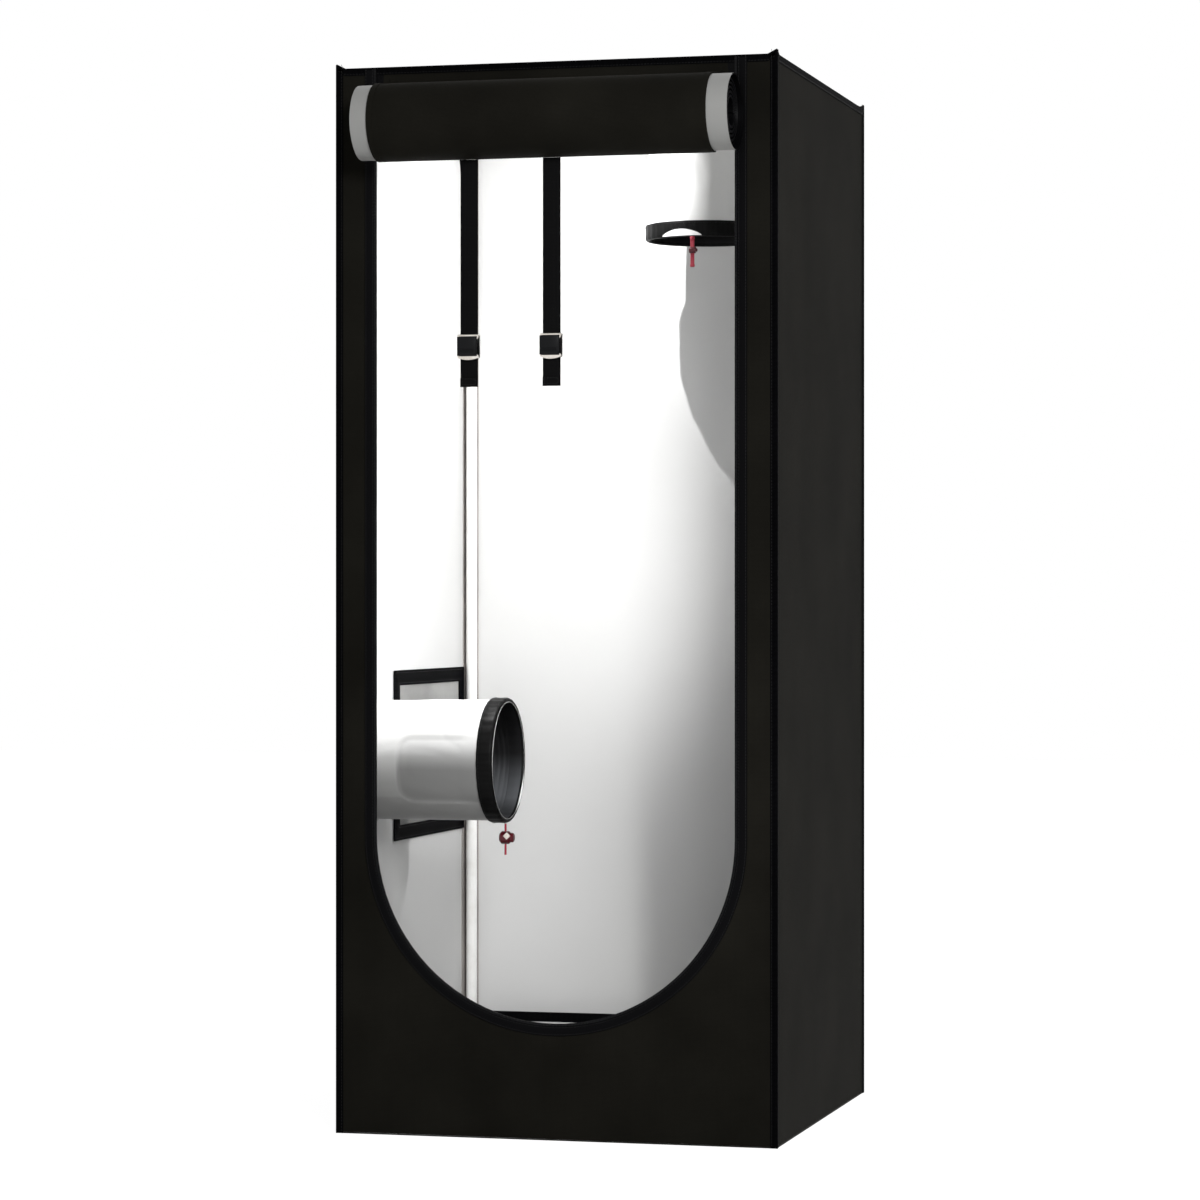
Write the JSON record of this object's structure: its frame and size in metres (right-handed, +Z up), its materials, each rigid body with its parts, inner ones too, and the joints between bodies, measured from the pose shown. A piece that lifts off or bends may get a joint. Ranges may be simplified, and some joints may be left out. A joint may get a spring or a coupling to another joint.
{
  "type": "indoor grow tent",
  "caption": "Square indoor grow tent on a tube frame: rolled-up zip door held by a wrap, hanging straps with cam buckles, duct sleeves with drawstrings, vent window and floor tray.",
  "frame": {"origin": "middle of the footprint, on the underside of the floor panel", "axes": "+Z up; the door faces -Y; +X to the right of someone who faces the door, so the wall duct and the vent window are in the -X wall"},
  "size_m": [0.6018, 0.7079, 1.426],
  "materials": {
    "canvas": "black woven polyester with a coated back",
    "binding": "black ribbed binding tape",
    "webbing": "black woven webbing",
    "lining": "white reflective lining with a low sheen",
    "coated_steel": "white powder coat",
    "black_plastic": "moulded, matt",
    "buckle_steel": "plated sheet steel",
    "zip_metal": "black lacquered die casting",
    "red_cord": "braided polyester cord",
    "lock_plastic": "dark red moulded plastic",
    "net": "grey open net"
  },
  "bodies": {
    "tent": {"corner_pole_front_left": "coated_steel", "corner_pole_front_right": "coated_steel", "corner_pole_back_left": "coated_steel", "corner_pole_back_right": "coated_steel", "base_rail_front": "coated_steel", "base_rail_back": "coated_steel", "base_rail_left": "coated_steel", "base_rail_right": "coated_steel", "top_rail_front": "coated_steel", "top_rail_back": "coated_steel", "top_rail_left": "coated_steel", "top_rail_right": "coated_steel", "corner_base_front_left": "black_plastic", "corner_base_front_right": "black_plastic", "corner_base_back_left": "black_plastic", "corner_base_back_right": "black_plastic", "corner_top_front_left": "black_plastic", "corner_top_front_right": "black_plastic", "corner_top_back_left": "black_plastic", "corner_top_back_right": "black_plastic", "floor_panel": "canvas", "front_panel": "canvas", "back_panel": "canvas", "left_panel": "canvas", "right_panel": "canvas", "roof_panel": "canvas", "zip_track": "binding", "door_roll": "lining", "roll_wrap": "canvas", "wall_sleeve": "lining", "wall_sleeve_hem": "binding", "wall_drawstring": "red_cord", "roof_sleeve": "lining", "roof_sleeve_hem": "binding", "roof_drawstring": "red_cord", "vent_mesh": "net", "vent_frame": "binding", "floor_tray": "lining", "tray_hem": "binding"},
    "front_bar": {"hanging_bar_front": "coated_steel", "bar_clip_front_left": "black_plastic", "bar_clip_front_right": "black_plastic"},
    "back_bar": {"hanging_bar_back": "coated_steel", "bar_clip_back_left": "black_plastic", "bar_clip_back_right": "black_plastic"},
    "left_slider": {"zip_slider_left": "zip_metal"},
    "right_slider": {"zip_slider_right": "zip_metal"},
    "left_pull": {"zip_pull_left": "zip_metal"},
    "right_pull": {"zip_pull_right": "zip_metal"},
    "left_strap": {"strap_left": "webbing"},
    "right_strap": {"strap_right": "webbing"},
    "left_buckle": {"buckle_frame_left": "buckle_steel"},
    "right_buckle": {"buckle_frame_right": "buckle_steel"},
    "left_lever": {"buckle_lever_left": "black_plastic"},
    "right_lever": {"buckle_lever_right": "black_plastic"},
    "wall_lock": {"wall_cord_lock": "lock_plastic"},
    "roof_lock": {"roof_cord_lock": "lock_plastic"},
    "wall_button": {"wall_cord_lock_button": "lock_plastic"},
    "roof_button": {"roof_cord_lock_button": "lock_plastic"},
    "flap": {"vent_flap": "canvas"}
  },
  "joints": [
    {"name": "front_bar_slide", "type": "slide", "parent": "tent", "child": "front_bar", "axis": [0, 1, 0], "range_m": [-0.135, 0.07]},
    {"name": "back_bar_slide", "type": "slide", "parent": "tent", "child": "back_bar", "axis": [0, 1, 0], "range_m": [-0.025, 0.026]},
    {"name": "left_zip_slide", "type": "slide", "parent": "tent", "child": "left_slider", "axis": [0, 0, 1], "range_m": [-0.955, 0]},
    {"name": "right_zip_slide", "type": "slide", "parent": "tent", "child": "right_slider", "axis": [0, 0, 1], "range_m": [-0.955, 0]},
    {"name": "left_pull_swing", "type": "hinge", "parent": "left_slider", "child": "left_pull", "pos_m": [-0.24625, -0.29365, 1.38], "axis": [1, 0, 0], "range_deg": [0, 100]},
    {"name": "right_pull_swing", "type": "hinge", "parent": "right_slider", "child": "right_pull", "pos_m": [0.24625, -0.29365, 1.38], "axis": [1, 0, 0], "range_deg": [0, 100]},
    {"name": "left_strap_swing", "type": "hinge", "parent": "tent", "child": "left_strap", "pos_m": [-0.102, -0.34634, 1.28968], "axis": [-1, 0, 0], "range_deg": [-45, 70]},
    {"name": "right_strap_swing", "type": "hinge", "parent": "tent", "child": "right_strap", "pos_m": [0.01, -0.34634, 1.28968], "axis": [-1, 0, 0], "range_deg": [-45, 70]},
    {"name": "left_buckle_slide", "type": "slide", "parent": "left_strap", "child": "left_buckle", "axis": [0, 0, 1], "range_m": [-0.022, 0.17]},
    {"name": "right_buckle_slide", "type": "slide", "parent": "right_strap", "child": "right_buckle", "axis": [0, 0, 1], "range_m": [-0.022, 0.17]},
    {"name": "left_lever_flip", "type": "hinge", "parent": "left_buckle", "child": "left_lever", "pos_m": [-0.102, -0.35059, 1.0538], "axis": [-1, 0, 0], "range_deg": [0, 85]},
    {"name": "right_lever_flip", "type": "hinge", "parent": "right_buckle", "child": "right_lever", "pos_m": [0.01, -0.35059, 1.0538], "axis": [-1, 0, 0], "range_deg": [0, 85]},
    {"name": "wall_lock_slide", "type": "slide", "parent": "tent", "child": "wall_lock", "axis": [0, 0, 1], "range_m": [-0.013, 0.009]},
    {"name": "roof_lock_slide", "type": "slide", "parent": "tent", "child": "roof_lock", "axis": [0, 0, 1], "range_m": [-0.013, 0.009]},
    {"name": "wall_button_press", "type": "slide", "parent": "wall_lock", "child": "wall_button", "axis": [-1, 0, 0], "range_m": [0, 0.002], "stiffness_N_per_m": 400, "springref_m": -0.001},
    {"name": "roof_button_press", "type": "slide", "parent": "roof_lock", "child": "roof_button", "axis": [-1, 0, 0], "range_m": [0, 0.002], "stiffness_N_per_m": 400, "springref_m": -0.001},
    {"name": "flap_lift", "type": "hinge", "parent": "tent", "child": "flap", "pos_m": [-0.30105, 0.1065, 0.6215], "axis": [0, 1, 0], "range_deg": [0, 150]}
  ]
}
